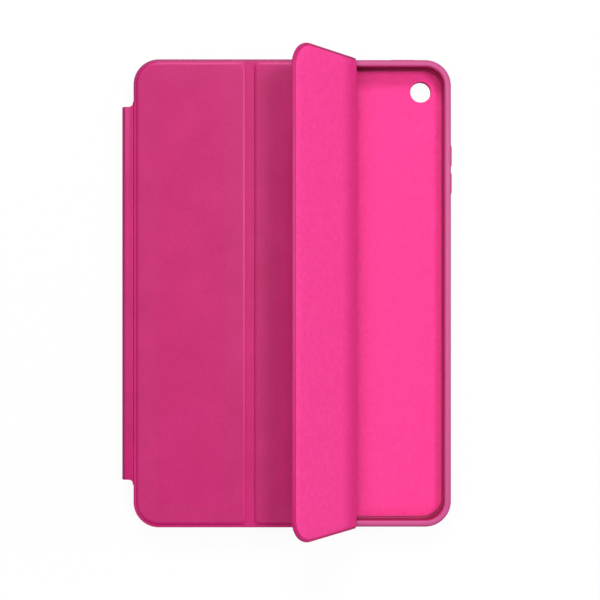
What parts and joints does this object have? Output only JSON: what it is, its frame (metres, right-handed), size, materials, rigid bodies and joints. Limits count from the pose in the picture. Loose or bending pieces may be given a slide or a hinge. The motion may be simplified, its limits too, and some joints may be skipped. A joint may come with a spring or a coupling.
{
  "type": "tablet folio case",
  "caption": "Leather-wrapped tray case for a small tablet, with a folding panel cover on a flexible side spine, microfibre lining, magnets and pressable button covers.",
  "frame": {"origin": "centre of the flat back of the tray, the face it lies on", "axes": "+Z out of the pocket towards the cover; +Y to the top of the tablet, along the spine; +X away from the spine"},
  "size_m": [0.1442, 0.2048, 0.0481],
  "materials": {
    "leather": "fine-grained aniline-dyed leather, satin",
    "lining": "brushed microfibre, matt",
    "plastic": "moulded, dyed to match the leather, fine matt",
    "board": "stiff glass-filled sheet, matt",
    "steel": "cold-rolled strip",
    "magnet": "nickel plated"
  },
  "bodies": {
    "tray": {"tray_leather": "leather", "tray_shell": "plastic", "tray_lining": "lining"},
    "power_button": {"power_button_cap": "leather", "power_button_plunger": "plastic"},
    "volume_up_button": {"volume_up_cap": "leather", "volume_up_plunger": "plastic"},
    "volume_down_button": {"volume_down_cap": "leather", "volume_down_plunger": "plastic"},
    "spine": {"spine_leather": "leather", "spine_stiffener": "board", "spine_lining": "lining"},
    "panel_1": {"panel_1_leather": "leather", "panel_1_board": "board", "panel_1_lining": "lining", "keeper_strip": "steel"},
    "fold_12": {"fold_12_leather": "leather", "fold_12_lining": "lining"},
    "panel_2": {"panel_2_leather": "leather", "panel_2_board": "board", "panel_2_lining": "lining"},
    "fold_23": {"fold_23_leather": "leather", "fold_23_lining": "lining"},
    "panel_3": {"panel_3_leather": "leather", "panel_3_board": "board", "panel_3_lining": "lining", "edge_magnet_1": "magnet", "edge_magnet_2": "magnet", "edge_magnet_3": "magnet", "edge_magnet_4": "magnet", "sleep_magnet": "magnet"}
  },
  "joints": [
    {"name": "spine_back_hinge", "type": "hinge", "parent": "tray", "child": "spine", "pos_m": [-0.0699, 0, -0.00005], "axis": [0, -1, 0], "range_deg": [0, 179]},
    {"name": "spine_front_hinge", "type": "hinge", "parent": "spine", "child": "panel_1", "pos_m": [-0.0693, 0, 0.01365], "axis": [0, -1, 0], "range_deg": [0, 179]},
    {"name": "fold_12_hinge", "type": "hinge", "parent": "panel_1", "child": "panel_2", "pos_m": [-0.0183, 0, 0.0138], "axis": [0, 1, 0], "range_deg": [-110, 0]},
    {"name": "fold_12_strip", "type": "hinge", "parent": "panel_1", "child": "fold_12", "pos_m": [-0.0183, 0, 0.0138], "axis": [0, 1, 0], "range_deg": [-55, 0]},
    {"name": "fold_23_hinge", "type": "hinge", "parent": "panel_2", "child": "panel_3", "pos_m": [0.0262, 0, 0.0138], "axis": [0, 1, 0], "range_deg": [-51, 129]},
    {"name": "fold_23_strip", "type": "hinge", "parent": "panel_2", "child": "fold_23", "pos_m": [0.0262, 0, 0.0138], "axis": [0, 1, 0], "range_deg": [-25.5, 64.5]},
    {"name": "power_button_press", "type": "slide", "parent": "tray", "child": "power_button", "axis": [0, -1, 0], "range_m": [0, 0.0004], "stiffness_N_per_m": 400},
    {"name": "volume_up_press", "type": "slide", "parent": "tray", "child": "volume_up_button", "axis": [-1, 0, 0], "range_m": [0, 0.0004], "stiffness_N_per_m": 400},
    {"name": "volume_down_press", "type": "slide", "parent": "tray", "child": "volume_down_button", "axis": [-1, 0, 0], "range_m": [0, 0.0004], "stiffness_N_per_m": 400}
  ],
  "couplings": [
    {"joint": "fold_12_strip", "follows": "fold_12_hinge", "ratio": 0.5},
    {"joint": "fold_23_strip", "follows": "fold_23_hinge", "ratio": 0.5}
  ]
}
